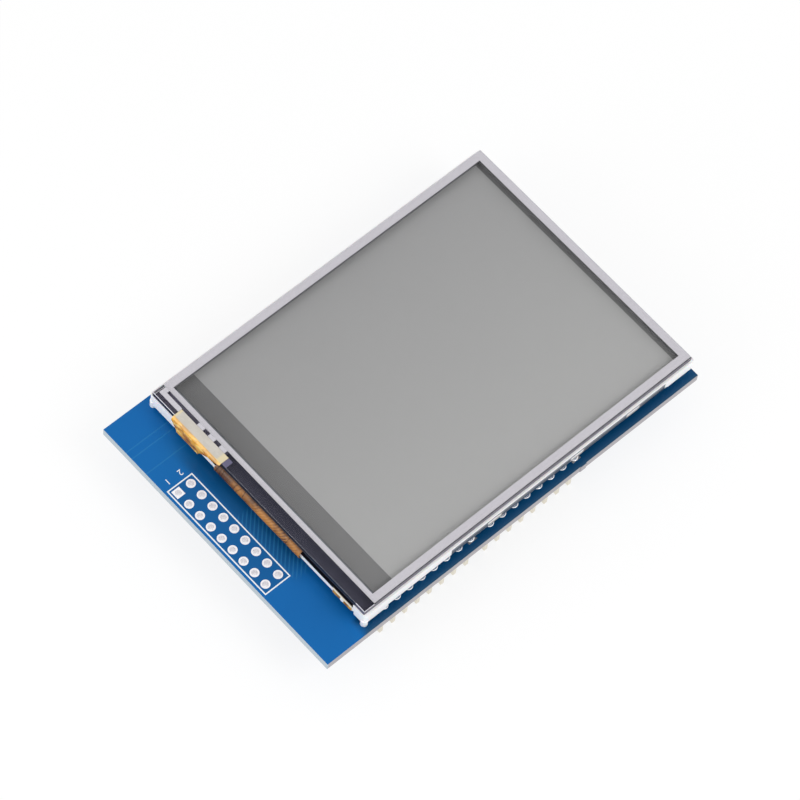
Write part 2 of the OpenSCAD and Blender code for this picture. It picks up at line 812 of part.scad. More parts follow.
// Black tape over the ledge, down the end of the glass and out over the sill. It has a pocket
// for the chip, and stays below the display flex where that bends round the glass.
module ledge_tape() {
    t = 0.08;
    chip_x = filter_x0 - 0.4 - chip_w;
    end_y0 = my0 + block_w + guide_play;
    end_y1 = my1 - block_far_w - guide_play;
    color("black") difference() {
        union() {
            block([cell_x0, cell_y0, cell_mid + flex_t], [filter_x0 - 0.05, cell_y1, cell_top]);
            block([cell_x0 - t, end_y0, step_top], [cell_x0, end_y1, cell_top]);
            block([mx0 + t, end_y0, step_top], [cell_x0, end_y1, step_top + t]);
        }
        block([chip_x, -chip_l / 2, cell_mid], [chip_x + chip_w, chip_l / 2, cell_mid + chip_h]);
        block([mx0, flex_y0 - t, cell_mid - t], [cell_x0, flex_y0 + flex_w + t, cell_top + cut]);
    }
}

// ---- display module: touch panel ----

module panel_gasket() {
    low = [touch_x0 + 0.1, touch_y0 + 0.1, frame_top];
    high = [touch_x1 - 0.1, touch_y1 - 0.1, glass_low];
    inset = [gasket_w, gasket_w, 0];
    color("dimgray") ring(low, high, low + inset, high - inset);
}

// Glass plate with ground upper and lower edges
module touch_glass() {
    g = 0.08;
    h = touch_glass_t;
    l = touch_x1 - touch_x0;
    w = touch_y1 - touch_y0;
    color("lightblue") translate([touch_x0, touch_y0, glass_low]) intersection() {
        translate([0, w, 0]) rotate([90, 0, 0]) linear_extrude(w)
            polygon([[g, 0], [l - g, 0], [l, g], [l, h - g], [l - g, h], [g, h], [0, h - g], [0, g]]);
        rotate([90, 0, 90]) linear_extrude(l)
            polygon([[g, 0], [w - g, 0], [w, g], [w, h - g], [w - g, h], [g, h], [0, h - g], [0, g]]);
    }
}

module touch_spacer() {
    color("black") ring([film_x0, film_y0, glass_top], [film_x1, film_y1, print_low],
        [window_x0 - 0.1, window_y0 - 0.1], [window_x1 + 0.1, window_y1 + 0.1]);
}

// Printed conductors round the window, under the film
module silver_border() {
    color("lightgray") ring([film_x0, film_y0, print_low], [film_x1, film_y1, film_low],
        [window_x0, window_y0], [window_x1, window_y1]);
}

module touch_film() {
    color("gainsboro") block([film_x0, film_y0, film_low], [film_x1, film_y1, film_low + film_t]);
}

// ---- flexes ----

// Bent stretch of flex, round the Y axis; angles are from +X towards +Z
module bend(r, from, angle, width) {
    rotate([90, 0, 0]) translate([0, 0, -width]) rotate([0, 0, from])
        rotate_extrude(angle = angle) translate([r - flex_t, 0]) square([flex_t, width]);
}

// Stretch of flex under the display module: flat, then down to the board and along it
module landing(x, low, width) {
    steps = 10;
    ramp = [for (i = [0 : steps])
        [ramp_x + (foot_x - ramp_x) * i / steps,
            board_top + (low - board_top) * (1 + cos(180 * i / steps)) / 2]];
    under = concat([[x, low]], ramp, [[foot_x + flex_foot_l, board_top]]);
    over = [for (i = [len(under) - 1 : -1 : 0]) under[i] + [0, flex_t]];
    translate([0, width, 0]) rotate([90, 0, 0]) linear_extrude(width) polygon(concat(under, over));
}

module display_flex() {
    color("chocolate") translate([0, flex_y0, 0]) {
        translate([flex_x0, 0, cell_mid]) cube([flex_bond_l, flex_w, flex_t]);
        translate([flex_x0, 0, flex_mid]) bend(flex_bend_r, 90, 180, flex_w);
        landing(flex_x0, flex_low, flex_w);
    }
}

// Outline of the touch tail, seen from the flex end: wide on the glass, with a neck below it
module tail_outline() {
    top = glass_top + cut;
    shoulder = glass_low + 0.3 * touch_glass_t;
    near = (tail_y0 + neck_y0) / 2;
    polygon([[tail_y0, top], [tail_y0, glass_top - 0.1], [near, shoulder], [neck_y0, sill_top],
        [neck_y0, board_top - cut], [neck_y0 + neck_w, board_top - cut],
        [neck_y0 + neck_w, sill_top], [tail_y0 + tail_w, shoulder], [tail_y0 + tail_w, top]]);
}

module touch_tail() {
    upper = glass_top + flex_t - tail_bend_r;
    lower = tail_low + tail_bend_r;
    color("peru") intersection() {
        translate([0, tail_y0, 0]) {
            translate([tail_x0, 0, glass_top]) cube([tail_bond_l, tail_w, flex_t]);
            translate([tail_x0, 0, upper]) bend(tail_bend_r, 90, 90, tail_w);
            translate([tail_x0 - tail_bend_r, 0, lower]) cube([flex_t, tail_w, upper - lower]);
            translate([tail_x0, 0, lower]) bend(tail_bend_r, 180, 90, tail_w);
            landing(tail_x0, tail_low, tail_w);
        }
        translate([x0, 0, 0]) rotate([90, 0, 90]) linear_extrude(board_l / 2) tail_outline();
    }
}

// ---- underside: card socket ----

// The socket is drawn with its rear corner at the origin and its slot towards +X
module socket_place() {
    underside() translate([-x0 - socket_l - 0.4, y0 + socket_from_edge - socket_w / 2, 0]) children();
}

module contact_places() {
    for (i = [-3.5 : 3.5]) translate([0, socket_w / 2 + i * contact_pitch, 0]) children();
}

module card_socket_base() {
    ceiling = socket_h - shell_t;
    ledge = ceiling - slot_h;
    heel = contact_foot_l - contact_out;
    half = contact_w / 2 + 0.1;
    color("dimgray") socket_place() difference() {
        block([0.3, shell_t, 0], [socket_l - 0.3, socket_w - shell_t, ceiling]);
        block([slot_from_back, (socket_w - slot_w) / 2, ledge],
            [socket_l, (socket_w + slot_w) / 2, ceiling + cut]);
        contact_places() {
            block([heel - 0.25, -half, -cut], [contact_l + 0.6, half, ledge + cut]);
            block([0, -half, -cut], [heel + 0.25, half, contact_t + 0.05]);
        }
    }
}

// Sprung contacts: a solder tail behind the socket, and a tip that reaches into the slot
module card_socket_contacts() {
    top = socket_h - shell_t - slot_h + 0.3;
    tip = top - contact_tip_l / 2;
    crest = contact_l - contact_tip_l;
    heel = contact_foot_l - contact_out;
    color("gold") socket_place() contact_places()
        rotate([90, 0, 0]) linear_extrude(contact_w, center = true)
            polygon([[-contact_out, 0], [heel, 0], [crest, top - contact_t],
                [contact_l, tip - contact_t], [contact_l, tip], [crest, top],
                [heel - contact_t / 3, contact_t], [-contact_out, contact_t]]);
}

// Folded steel shell with solder lugs, a thumb notch and an inspection hole
module card_socket_shell() {
    color("silver") socket_place() difference() {
        union() {
            block([0, 0, socket_h - shell_t], [socket_l, socket_w, socket_h]);
            for (y = [0, socket_w - shell_t])
                block([0, y, 0], [socket_l, y + shell_t, socket_h]);
            for (x = [1.5, socket_l - 3], y = [-0.8, socket_w - shell_t])
                block([x, y, 0], [x + 1.4, y + 0.8 + shell_t, shell_t]);
        }
        translate([socket_l + notch_d / 2 - notch_depth, socket_w / 2, 0])
            cylinder(d = notch_d, h = socket_h + cut);
        translate([socket_l * 0.3, socket_w * 0.7, 0]) cylinder(d = 1.6, h = socket_h + cut);
    }
}

// ---- underside: chips ----

// Moulded body, centred, with sloped long sides and an upright band where the leads come out
module moulded(l, w, h, lead_t) {
    d = 0.12;
    m = h / 2 + lead_t * 0.6;
    k = h / 2 - lead_t * 0.6;
    translate([-l / 2, -w / 2, 0.1]) rotate([90, 0, 90]) linear_extrude(l)
        polygon([[d, 0], [w - d, 0], [w, k], [w, m], [w - d, h], [d, h], [0, m], [0, k]]);
}

// Lead that leaves a body's upright band, steps down and ends in a foot on the board
module lead(width, h, t, reach) {
    mid = 0.1 + h / 2;
    bend_out = reach * 0.3;
    translate([-width / 2, 0, 0]) rotate([90, 0, 90]) linear_extrude(width)
        polygon([[0, mid + t / 2], [bend_out, mid + t / 2], [bend_out + 0.6 * t, t], [reach, t],
            [reach, 0], [bend_out - 0.4 * t, 0], [bend_out - 0.6 * t, mid - t / 2], [0, mid - t / 2]]);
}

// Row of leads along one long side of a body
module leads(count, spacing, w, width, h, t, reach) {
    for (i = [0 : count - 1])
        translate([(i - (count - 1) / 2) * spacing, w / 2, 0]) lead(width, h, t, reach);
}

module shifter_places() {
    for (i = [0, 1]) underside()
        translate([x0 + shifter_from_end + i * shifter_gap, y0 + shifter_from_edge, 0]) children();
}

module level_shifter_bodies() {
    color("dimgray") shifter_places() difference() {
        moulded(shifter_l, shifter_w, shifter_h, shifter_lead_t);
        translate([-shifter_l / 2 + 0.9, -shifter_w / 2 + 0.9, shifter_h]) cylinder(d = 0.6, h = 0.5);
    }
}

module level_shifter_leads() {
    color("silver") shifter_places() for (turn = [0, 180])
        rotate([0, 0, turn]) leads(10, shifter_l / 10, shifter_w, shifter_lead_w,
            shifter_h, shifter_lead_t, shifter_lead_l);
}

module regulator_place() {
    underside() translate([x0 + regulator_from_end, y0 + regulator_from_edge, 0]) children();
}

module regulator_body() {
    color("dimgray") regulator_place()
        moulded(regulator_l, regulator_w, regulator_h, regulator_lead_t);
}

// Three leads on one side and a wide tab on the other
module regulator_leads() {
    color("silver") regulator_place() {
        leads(3, regulator_pitch, regulator_w, regulator_lead_w,
            regulator_h, regulator_lead_t, regulator_lead_l);
        rotate([0, 0, 180]) leads(1, 0, regulator_w, regulator_tab_w,
            regulator_h, regulator_lead_t, regulator_lead_l);
    }
}

module transistor_place() {
    underside() translate([x0 + transistor_from_end, y0 + transistor_from_edge, 0]) children();
}

module transistor_body() {
    color("dimgray") transistor_place()
        moulded(transistor_l, transistor_w, transistor_h, transistor_lead_t);
}

module transistor_leads() {
    color("silver") transistor_place() {
        leads(2, transistor_pitch, transistor_w, transistor_lead_w,
            transistor_h, transistor_lead_t, transistor_lead_l);
        rotate([0, 0, 180]) leads(1, 0, transistor_w, transistor_lead_w,
            transistor_h, transistor_lead_t, transistor_lead_l);
    }
}

// ---- underside: capacitors and resistors ----

// A capacitor on each side of the regulator, and one beside each level shifter
module capacitor_places() {
    half = capacitor_w / 2 + capacitor_gap;
    by_regulator = regulator_w / 2 + regulator_lead_l + half;
    regulator_place() for (y = [-by_regulator, by_regulator]) translate([0, y, 0]) children();
    shifter_places() translate([0, shifter_w / 2 + shifter_lead_l + half, 0]) children();
}

module resistor_places() {
    for (i = [0 : 7]) underside()
        translate([x0 + resistor_from_end + i * resistor_pitch, y0 + resistor_from_edge, 0])
            rotate([0, 0, 90]) children();
}

// Ceramic body, a little smaller than the caps on its ends
module chip_body(l, w, h, cap_l) {
    translate([-l / 2 + cap_l, -w / 2 + 0.03, 0.03]) cube([l - 2 * cap_l, w - 0.06, h - 0.06]);
}

module chip_ends(l, w, h, cap_l) {
    for (x = [-l / 2, l / 2 - cap_l]) translate([x, -w / 2, 0]) cube([cap_l, w, h]);
}

module capacitor_bodies() {
    color("tan") capacitor_places() chip_body(capacitor_l, capacitor_w, capacitor_h, capacitor_cap_l);
}

module capacitor_ends() {
    color("silver") capacitor_places() chip_ends(capacitor_l, capacitor_w, capacitor_h, capacitor_cap_l);
}

module resistor_bodies() {
    color("black") resistor_places() chip_body(resistor_l, resistor_w, resistor_h, resistor_cap_l);
}

module resistor_ends() {
    color("silver") resistor_places() chip_ends(resistor_l, resistor_w, resistor_h, resistor_cap_l);
}

circuit_board();
expansion_eyelets();
header_low_insulator();
header_low_pins();
header_low_joints();
header_high_insulator();
header_high_pins();
header_high_joints();
header_power_insulator();
header_power_pins();
header_power_joints();
header_analog_insulator();
header_analog_pins();
header_analog_joints();
mounting_foam();
back_tray();
light_frame();
reflector_sheet();
light_guide();
led_flex();
backlight_leds();
diffuser_sheet();
lower_prism_sheet();
upper_prism_sheet();
rear_polariser();
transistor_glass();
colour_filter_glass();
front_polariser();
driver_chip();
display_flex();
ledge_tape();
panel_gasket();
touch_glass();
touch_spacer();
silver_border();
touch_film();
touch_tail();
card_socket_base();
card_socket_contacts();
card_socket_shell();
level_shifter_bodies();
level_shifter_leads();
regulator_body();
regulator_leads();
transistor_body();
transistor_leads();
capacitor_bodies();
capacitor_ends();
resistor_bodies();
resistor_ends();
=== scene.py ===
import math
import bpy
from mathutils import Matrix, Vector


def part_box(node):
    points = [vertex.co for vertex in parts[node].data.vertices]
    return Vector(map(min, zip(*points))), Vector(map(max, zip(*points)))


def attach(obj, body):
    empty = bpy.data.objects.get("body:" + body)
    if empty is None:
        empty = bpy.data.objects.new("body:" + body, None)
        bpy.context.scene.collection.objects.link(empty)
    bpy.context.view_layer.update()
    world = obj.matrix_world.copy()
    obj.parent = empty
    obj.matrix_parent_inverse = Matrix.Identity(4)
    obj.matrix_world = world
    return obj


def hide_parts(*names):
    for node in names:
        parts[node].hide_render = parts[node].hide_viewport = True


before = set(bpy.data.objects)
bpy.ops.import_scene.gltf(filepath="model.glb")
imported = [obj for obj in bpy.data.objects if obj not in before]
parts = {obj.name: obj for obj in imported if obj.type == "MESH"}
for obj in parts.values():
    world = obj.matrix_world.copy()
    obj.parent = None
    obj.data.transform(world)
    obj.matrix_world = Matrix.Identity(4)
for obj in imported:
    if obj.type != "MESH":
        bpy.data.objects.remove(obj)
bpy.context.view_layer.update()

mm = 0.001
print("loaded", len(parts), "parts")


def reach(name):
    # a piece's lowest and highest corners, in millimetres
    low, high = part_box(name)
    return low / mm, high / mm


boardLow, boardHigh = reach("circuit_board")
gridLow, gridHigh = reach("expansion_eyelets")
glassLow, glassHigh = reach("touch_glass")
panelLow, panelHigh = reach("front_polariser")
tailLow, tailHigh = reach("touch_tail")
filmLow = reach("touch_film")[0]
flexLow = reach("display_flex")[0]
frameHigh = reach("light_frame")[1]
lampHigh = reach("led_flex")[1]


def tone(red, green, blue):
    # screen values from 0 to 255 as the linear colour that a shader reads
    def linear(value):
        value /= 255
        return value / 12.92 if value <= 0.04045 else ((value + 0.055) / 1.055) ** 2.4
    return (linear(red), linear(green), linear(blue), 1)


def addNode(tree, kind, settings=None, inputs=None):
    made = tree.nodes.new(kind)
    for key, value in (settings or {}).items():
        setattr(made, key, value)
    for key, value in (inputs or {}).items():
        if isinstance(value, bpy.types.NodeSocket):
            tree.links.new(value, made.inputs[key])
        else:
            made.inputs[key].default_value = value
    return made


def calc(tree, operation, first, second=0.0):
    return addNode(tree, "ShaderNodeMath", {"operation": operation}, {0: first, 1: second}).outputs[0]


def times(tree, first, *others):
    for other in others:
        first = calc(tree, "MULTIPLY", first, other)
    return first


def largest(tree, first, *others):
    for other in others:
        first = calc(tree, "MAXIMUM", first, other)
    return first


def opposite(tree, mask):
    return calc(tree, "SUBTRACT", 1.0, mask)


def choose(tree, mask, first, second):
    # first where the mask is 1, second where it is 0
    return calc(tree, "ADD", times(tree, first, mask), times(tree, second, opposite(tree, mask)))


def axes(tree):
    coords = addNode(tree, "ShaderNodeTexCoord").outputs["Object"]
    x, y, z = addNode(tree, "ShaderNodeSeparateXYZ", None, {0: coords}).outputs
    return coords, x, y, z


def facing(tree):
    normal = addNode(tree, "ShaderNodeNewGeometry").outputs["Normal"]
    return addNode(tree, "ShaderNodeSeparateXYZ", None, {0: normal}).outputs


def rise(tree, value, start, end):
    # 0 before start, 1 past end, smooth between; start may be the larger
    return addNode(tree, "ShaderNodeMapRange", {"interpolation_type": "SMOOTHSTEP"},
                   {0: value, 1: start, 2: end, 3: 0.0, 4: 1.0}).outputs[0]


def band(tree, value, low, high, soft):
    # 1 between low and high
    return times(tree, rise(tree, value, low - soft, low + soft), rise(tree, value, high + soft, high - soft))


def riseAt(tree, axis, start, end):
    # rise along an axis, in millimetres
    return rise(tree, axis, start * mm, end * mm)


def riseFrom(tree, axis, base, steps):
    # rise along an axis, its two ends stepped off from a base
    return riseAt(tree, axis, base + steps[0], base + steps[1])


def bandAt(tree, axis, low, high, soft):
    # band along an axis, in millimetres
    return band(tree, axis, low * mm, high * mm, soft * mm)


def fit(tree, value, low, high):
    # spreads 0 to 1 over low to high
    return addNode(tree, "ShaderNodeMapRange", None,
                   {0: value, 1: 0.0, 2: 1.0, 3: low, 4: high}).outputs[0]


def grain(tree, coords, scale, detail, stretch=(1, 1, 1)):
    placed = addNode(tree, "ShaderNodeMapping", None, {"Vector": coords, "Scale": stretch})
    return addNode(tree, "ShaderNodeTexNoise", None,
                   {"Vector": placed.outputs[0], "Scale": scale, "Detail": detail}).outputs["Fac"]


def cells(tree, coords, scale):
    return addNode(tree, "ShaderNodeTexVoronoi", None, {"Vector": coords, "Scale": scale}).outputs["Distance"]


def ribs(tree, coords, scale):
    return addNode(tree, "ShaderNodeTexWave", None, {"Vector": coords, "Scale": scale}).outputs["Fac"]


def stripes(tree, value, spacing, width):
    # 1 on lines of the given width that repeat at the spacing
    steps = calc(tree, "PINGPONG", calc(tree, "ADD", value, 1.0), spacing * mm / 2)
    return riseAt(tree, steps, width / 2 + 0.02, width / 2 - 0.02)


def blendTone(tree, factor, first, second):
    # each of the two is a socket, or screen values from 0 to 255
    shades = [shade if isinstance(shade, bpy.types.NodeSocket) else tone(*shade) for shade in (first, second)]
    return addNode(tree, "ShaderNodeMix", {"data_type": "RGBA"}, {0: factor, 6: shades[0], 7: shades[1]}).outputs[2]


def newFinish(name, **fixed):
    made = bpy.data.materials.new(name)
    made.use_nodes = True
    shader = made.node_tree.nodes["Principled BSDF"]
    for key, value in fixed.items():
        shader.inputs[key.replace("_", " ")].default_value = value
    return made, made.node_tree, shader


def wire(tree, shader, key, value):
    tree.links.new(value, shader.inputs[key])


def relief(tree, shader, height, depth):
    bump = addNode(tree, "ShaderNodeBump", None, {"Height": height, "Distance": depth * mm, "Strength": 1.0})
    wire(tree, shader, "Normal", bump.outputs[0])


def flank(tree):
    # 1 on upright sides, 0 on level faces
    return rise(tree, calc(tree, "ABSOLUTE", facing(tree)[2]), 0.75, 0.45)


def dress(material, *names):
    for name in names:
        slots = parts[name].data.materials
        slots.clear()
        slots.append(material)


cameraValues = {
    "place": (-260.1, -224.2, 638.6), "aim": (-0.12, 0.59, 9.2),
    "roll": 8.197, "lens": 207.36, "sensor": 36,
}


def addCamera():
    place = Vector(cameraValues["place"]) * mm
    back = (place - Vector(cameraValues["aim"]) * mm).normalized()
    side = Vector((0, 0, 1)).cross(back).normalized()
    up = back.cross(side)
    turn = math.radians(cameraValues["roll"])
    right = side * math.cos(turn) + up * math.sin(turn)
    top = up * math.cos(turn) - side * math.sin(turn)
    data = bpy.data.cameras.new("camera")
    data.lens = cameraValues["lens"]
    data.sensor_width = cameraValues["sensor"]
    data.clip_start = 0.01
    camera = bpy.data.objects.new("camera", data)
    camera.matrix_world = Matrix((right, top, back)).transposed().to_4x4()
    camera.location = place
    bpy.context.scene.collection.objects.link(camera)
    bpy.context.scene.camera = camera


lampValues = {
    "key": {"place": (120, -400, 490), "size": 300, "power": 1.16},
    "fill": {"place": (-480, 100, 260), "size": 360, "power": 0.84},
}


def addLamps():
    for name, values in lampValues.items():
        data = bpy.data.lights.new(name, "AREA")
        data.energy = values["power"]
        data.size = values["size"] * mm
        lamp = bpy.data.objects.new(name, data)
        lamp.location = Vector(values["place"]) * mm
        lamp.rotation_euler = lamp.location.to_track_quat("Z", "Y").to_euler()
        bpy.context.scene.collection.objects.link(lamp)


def seenRay(tree):
    # 1 for what the camera sees, also in gloss and through clear pieces
    path = addNode(tree, "ShaderNodeLightPath").outputs
    seen = calc(tree, "ADD", path["Is Camera Ray"], path["Is Glossy Ray"])
    return calc(tree, "MINIMUM", calc(tree, "ADD", seen, path["Is Transmission Ray"]), 1.0)


worldValues = {"lightStrength": 0.72, "seenStrength": 1.0}


def addWorld():
    world = bpy.data.worlds.new("studio")
    world.use_nodes = True
    tree = world.node_tree
    tree.nodes.clear()
    light = addNode(tree, "ShaderNodeBackground", None,
                    {0: (1, 1, 1, 1), 1: worldValues["lightStrength"]})
    seen = addNode(tree, "ShaderNodeBackground", None,
                   {0: (1, 1, 1, 1), 1: worldValues["seenStrength"]})
    mix = addNode(tree, "ShaderNodeMixShader", None,
                  {0: seenRay(tree), 1: light.outputs[0], 2: seen.outputs[0]})
    out = addNode(tree, "ShaderNodeOutputWorld")
    tree.links.new(mix.outputs[0], out.inputs[0])
    bpy.context.scene.world = world


floorValues = {"size": 6, "glow": 0.82}


def addFloor():
    bpy.ops.object.select_all(action="DESELECT")
    bpy.ops.mesh.primitive_plane_add(size=floorValues["size"])
    floor = bpy.context.object
    floor.name = "floor"
    material, tree, shader = newFinish("floorPaper", Base_Color=(1, 1, 1, 1), Roughness=1.0, Specular_IOR_Level=0)
    glow = addNode(tree, "ShaderNodeEmission", None, {0: (1, 1, 1, 1), 1: 1.0})
    share = times(tree, seenRay(tree), floorValues["glow"])
    mix = addNode(tree, "ShaderNodeMixShader", None,
                  {0: share, 1: shader.outputs[0], 2: glow.outputs[0]})
    tree.links.new(mix.outputs[0], tree.nodes["Material Output"].inputs[0])
    floor.data.materials.append(material)


addCamera()
addLamps()
addWorld()
addFloor()
bpy.context.scene.view_settings.view_transform = "Standard"
print("camera, lamps and floor are set")


boardValues = {
    "pour": ((10, 95, 163), (16, 105, 176)), "bare": (8, 66, 108), "margin": (34, 76, 108),
    "trace": (44, 126, 182), "via": (150, 176, 196),
    "edge": (166, 162, 167), "endEdge": (172, 188, 198), "endReach": (0.3, 0.05),
    "weave": (204, 202, 202), "weaveGrain": (1600, 2, (0.15, 0.15, 2)), "weaveShare": 0.5,
    "cloud": (90, 4), "cloudHeight": 0.3, "specular": 0.14, "roughness": (0.3, 0.75), "relief": 0.02,
    "headerStart": (-32, -30), "headerStrip": (3.6, 2.8), "marginStrip": (0.7, 0.2),  # strips along the near edge
    "besideX": (-34.2, -32.4), "besideY": (-11, 14, 3), "besideShare": 0.6,  # next to the flexes
    "amongRim": (0.5, 0.6), "amongEnd": -33.4, "amongSoft": 0.1, "amongShare": 0.35,  # among the expansion holes
    "longTraces": (20.8, 19.4, 16.0), "longWidth": 0.22, "longSoft": 0.05, "longEnd": (-29.5, -30.5),
    "fanSpacing": 0.9, "fanWidth": 0.32, "fanX": (-33.2, -24, 0.3), "fanY": (-12.2, 1.4, 0.5), "topShare": 0.4,
}
undersideValues = {
    "patch": 130, "spacing": 0.8, "width": 0.22, "share": 0.6,
    "along": (0.45, 0.46), "lean": (0.72, 0.73), "filled": (0.42, 0.43),  # how the patches are dealt out
    "viaScale": 210, "viaSpread": 0.8, "viaSize": (0.075, 0.06), "viaShare": 0.8,
}


def bareBoard(tree, x, y):
    # darker mask along the headers and beside the flexes, partly bare board and partly painted shade of the module that
    # overhangs there; among the expansion holes no copper lies under the mask
    values = boardValues
    near = times(tree, riseAt(tree, x, *values["headerStart"]),
                 riseFrom(tree, y, boardLow.y, values["headerStrip"]))
    beside = times(tree, riseAt(tree, x, *values["besideX"]), bandAt(tree, y, *values["besideY"]),
                   values["besideShare"])
    rimX, rimY = values["amongRim"]
    soft = values["amongSoft"]
    among = times(tree, bandAt(tree, x, gridLow.x - rimX, values["amongEnd"], soft),
                  bandAt(tree, y, gridLow.y - rimY, gridHigh.y + rimY, soft), values["amongShare"])
    return largest(tree, near, beside, among)


def boardMargin(tree, x, y):
    return times(tree, riseAt(tree, x, *boardValues["headerStart"]),
                 riseFrom(tree, y, boardLow.y, boardValues["marginStrip"]))


def topTraces(tree, x, y):
    # long traces that run in from the flex end, and a slanted fan beside the display flex
    values = boardValues
    half = values["longWidth"] / 2
    runs = [bandAt(tree, y, place - half, place + half, values["longSoft"]) for place in values["longTraces"]]
    runs = times(tree, largest(tree, *runs), riseAt(tree, x, *values["longEnd"]))
    fan = stripes(tree, calc(tree, "SUBTRACT", y, x), values["fanSpacing"], values["fanWidth"])
    fan = times(tree, fan, bandAt(tree, y, *values["fanY"]), bandAt(tree, x, *values["fanX"]))
    return largest(tree, runs, fan)


def undersideTraces(tree, coords, x, y):
    # patches of parallel traces, each patch with its own direction, and small vias between them
    values = undersideValues
    flat = addNode(tree, "ShaderNodeMapping", None, {"Vector": coords, "Scale": (1, 1, 0)}).outputs[0]
    patches = addNode(tree, "ShaderNodeTexVoronoi", {"distance": "MANHATTAN"},
                      {"Vector": flat, "Scale": values["patch"]})
    pick = addNode(tree, "ShaderNodeSeparateXYZ", None, {0: patches.outputs["Color"]}).outputs
    slanted = times(tree, calc(tree, "ADD", x, y), math.sqrt(0.5))
    along, across, lean = [stripes(tree, way, values["spacing"], values["width"]) for way in (x, y, slanted)]
    lines = choose(tree, rise(tree, pick[0], *values["along"]), along, across)
    lines = choose(tree, rise(tree, pick[1], *values["lean"]), lean, lines)
    lines = times(tree, lines, rise(tree, pick[2], *values["filled"]))
    dots = addNode(tree, "ShaderNodeTexVoronoi", None,
                   {"Vector": flat, "Scale": values["viaScale"], "Randomness": values["viaSpread"]}).outputs["Distance"]
    return lines, rise(tree, dots, *values["viaSize"])


def finishBoard():
    values = boardValues
    material, tree, shader = newFinish("boardMask", Specular_IOR_Level=values["specular"])
    coords, x, y, z = axes(tree)
    cloud = grain(tree, coords, *values["cloud"])
    above = riseAt(tree, z, boardLow.z, boardHigh.z)
    below = opposite(tree, above)
    surface = blendTone(tree, cloud, *values["pour"])
    # painted shade in part: the bare-board tone along the headers and beside the flexes also stands for the module's
    # shade
    surface = blendTone(tree, times(tree, bareBoard(tree, x, y), above), surface, values["bare"])
    surface = blendTone(tree, times(tree, boardMargin(tree, x, y), above), surface, values["margin"])
    lines = times(tree, topTraces(tree, x, y), above)
    surface = blendTone(tree, times(tree, lines, values["topShare"]), surface, values["trace"])
    under, vias = undersideTraces(tree, coords, x, y)
    under = times(tree, under, below)
    surface = blendTone(tree, times(tree, under, undersideValues["share"]), surface, values["trace"])
    surface = blendTone(tree, times(tree, vias, below, undersideValues["viaShare"]), surface, values["via"])
    edge = blendTone(tree, riseFrom(tree, x, boardLow.x, values["endReach"]), values["edge"], values["endEdge"])
    weave = grain(tree, coords, *values["weaveGrain"])
    edge = blendTone(tree, times(tree, weave, values["weaveShare"]), edge, values["weave"])
    side = flank(tree)
    wire(tree, shader, "Base Color", blendTone(tree, side, surface, edge))
    wire(tree, shader, "Roughness", fit(tree, side, *values["roughness"]))
    height = calc(tree, "ADD", calc(tree, "ADD", lines, under), times(tree, cloud, values["cloudHeight"]))
    relief(tree, shader, height, values["relief"])
    dress(material, "circuit_board")


